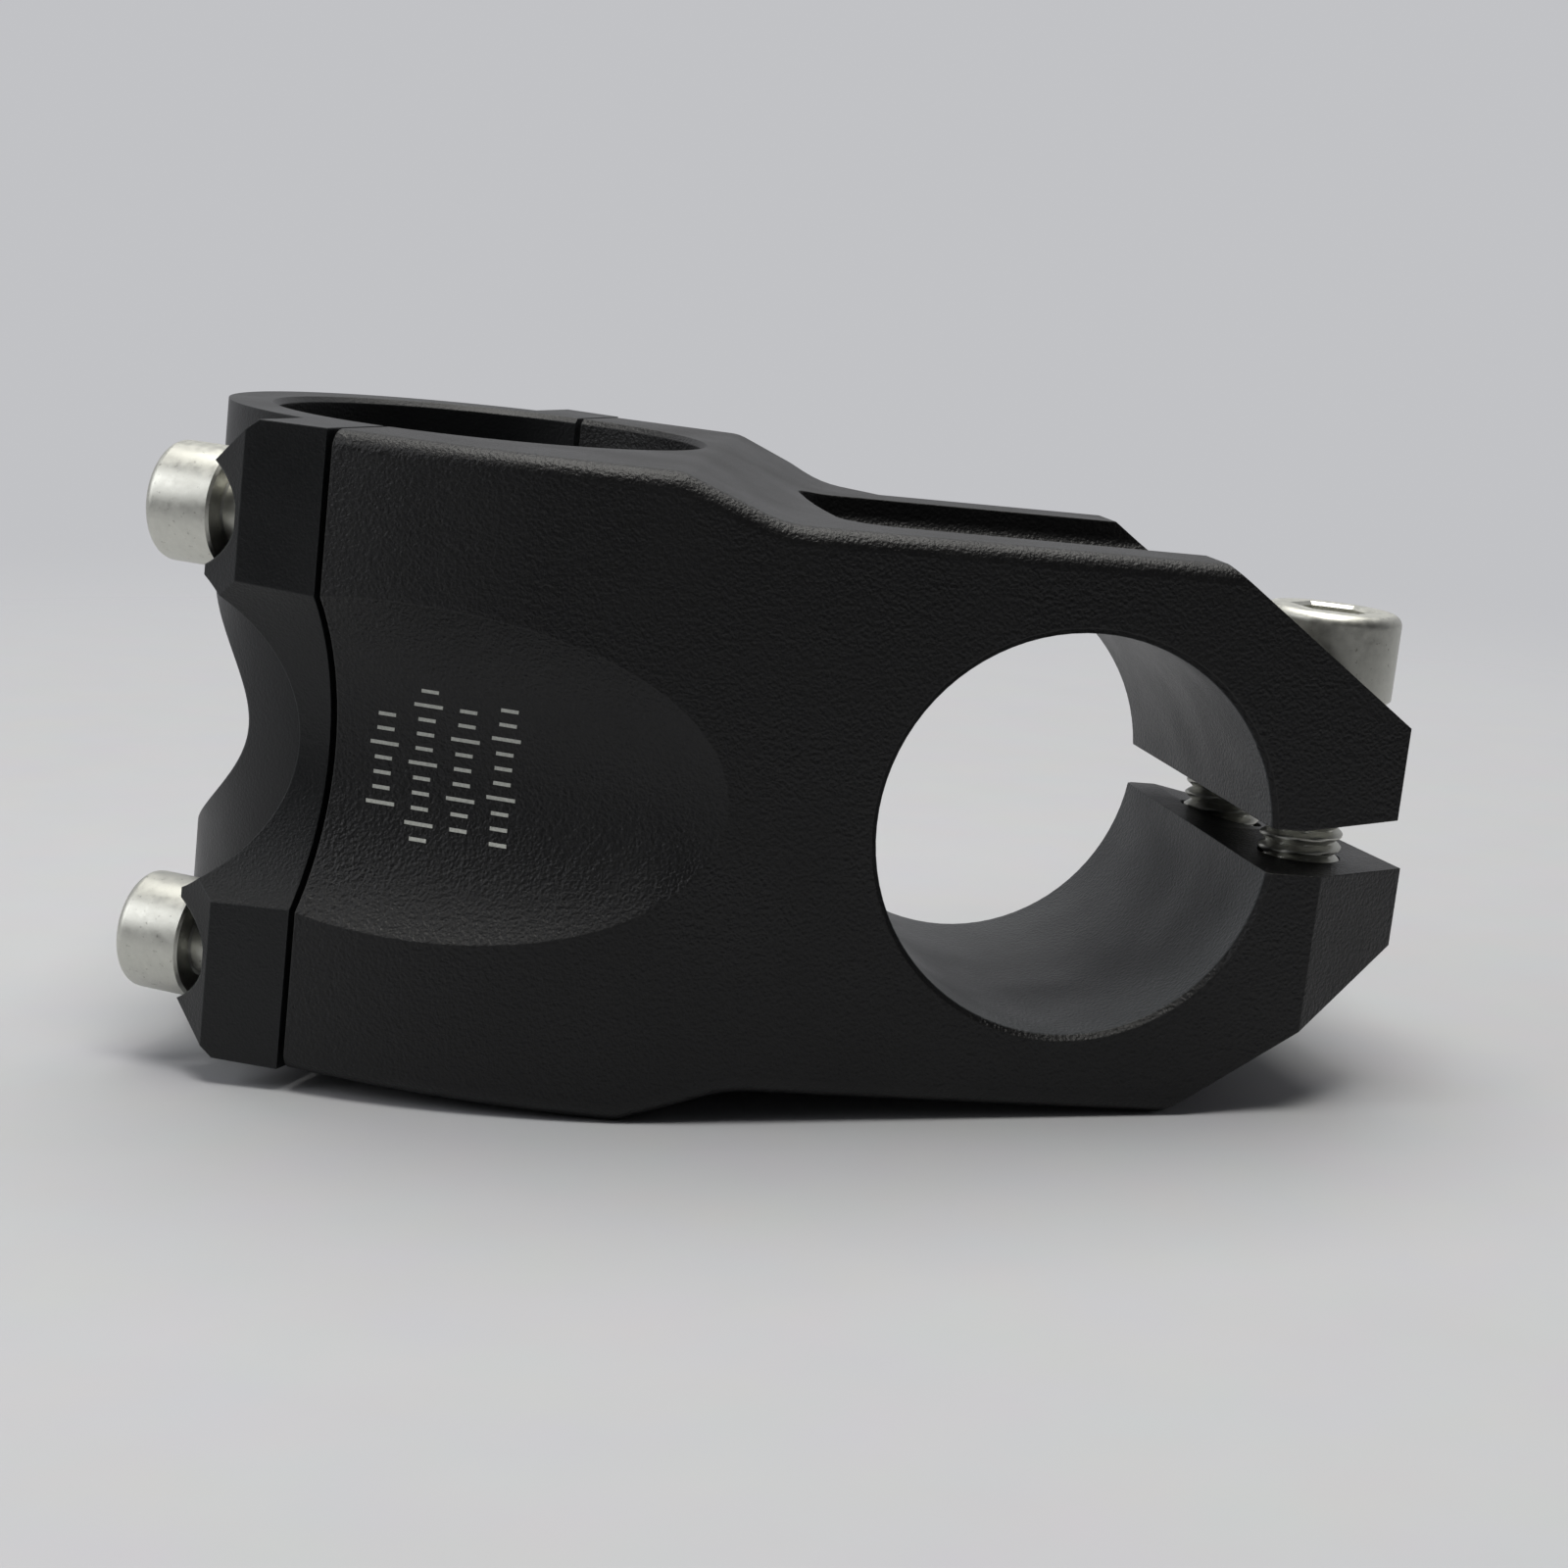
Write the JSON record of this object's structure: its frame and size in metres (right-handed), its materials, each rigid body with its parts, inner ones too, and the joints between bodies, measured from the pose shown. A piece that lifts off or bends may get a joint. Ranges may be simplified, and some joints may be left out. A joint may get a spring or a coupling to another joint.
{
  "type": "handlebar stem",
  "caption": "Bicycle handlebar stem: a split clamp for the fork's steerer tube and a rising handlebar clamp with a removable bolted faceplate.",
  "frame": {"origin": "on the steerer bore's axis, at the middle of the steerer clamp's height", "axes": "+Y along the steerer bore towards the stem's top, +Z along the handlebar bore, -X forward from the steerer to the handlebar. The part is stored lying on its side, as it is shown."},
  "size_m": [0.0912, 0.0582, 0.0452],
  "materials": {
    "black_anodised_body": "matte, bead-blasted black",
    "black_anodised_faceplate": "satin, finer blasted black",
    "zinc_plated_steel": "satin zinc plating"
  },
  "bodies": {
    "stem_body": {"stem_body": "black_anodised_body"},
    "faceplate": {"faceplate": "black_anodised_faceplate"},
    "faceplate_bolt_upper_near": {"faceplate_bolt_upper_near": "zinc_plated_steel"},
    "faceplate_bolt_upper_far": {"faceplate_bolt_upper_far": "zinc_plated_steel"},
    "faceplate_bolt_lower_near": {"faceplate_bolt_lower_near": "zinc_plated_steel"},
    "faceplate_bolt_lower_far": {"faceplate_bolt_lower_far": "zinc_plated_steel"},
    "steerer_bolt_near": {"steerer_bolt_near": "zinc_plated_steel"},
    "steerer_bolt_far": {"steerer_bolt_far": "zinc_plated_steel"}
  },
  "joints": [
    {"name": "faceplate_slide", "type": "slide", "parent": "stem_body", "child": "faceplate", "axis": [-0.848, 0.5299, 0], "range_m": [-0.0004, 0.0072]},
    {"name": "faceplate_bolt_upper_near_turn", "type": "hinge", "parent": "faceplate", "child": "faceplate_bolt_upper_near", "pos_m": [-0.05836, 0.00236, 0.0157], "axis": [-0.848, 0.5299, 0], "range_deg": [-180.02, 3240.02]},
    {"name": "faceplate_bolt_upper_far_turn", "type": "hinge", "parent": "faceplate", "child": "faceplate_bolt_upper_far", "pos_m": [-0.03759, 0.0356, 0.0157], "axis": [-0.848, 0.5299, 0], "range_deg": [-180.02, 3240.02]},
    {"name": "faceplate_bolt_lower_near_turn", "type": "hinge", "parent": "faceplate", "child": "faceplate_bolt_lower_near", "pos_m": [-0.05836, 0.00236, -0.0157], "axis": [-0.848, 0.5299, 0], "range_deg": [-180.02, 3240.02]},
    {"name": "faceplate_bolt_lower_far_turn", "type": "hinge", "parent": "faceplate", "child": "faceplate_bolt_lower_far", "pos_m": [-0.03759, 0.0356, -0.0157], "axis": [-0.848, 0.5299, 0], "range_deg": [-180.02, 3240.02]},
    {"name": "steerer_bolt_near_slide", "type": "slide", "parent": "stem_body", "child": "steerer_bolt_near", "axis": [0, 0, 1], "range_m": [0, 0.008]},
    {"name": "steerer_bolt_far_slide", "type": "slide", "parent": "stem_body", "child": "steerer_bolt_far", "axis": [0, 0, -1], "range_m": [0, 0.008]}
  ],
  "couplings": [
    {"joint": "faceplate_bolt_upper_near_turn", "follows": "faceplate_slide", "rad_per_m": 7854},
    {"joint": "faceplate_bolt_upper_far_turn", "follows": "faceplate_slide", "rad_per_m": 7854},
    {"joint": "faceplate_bolt_lower_near_turn", "follows": "faceplate_slide", "rad_per_m": 7854},
    {"joint": "faceplate_bolt_lower_far_turn", "follows": "faceplate_slide", "rad_per_m": 7854}
  ]
}
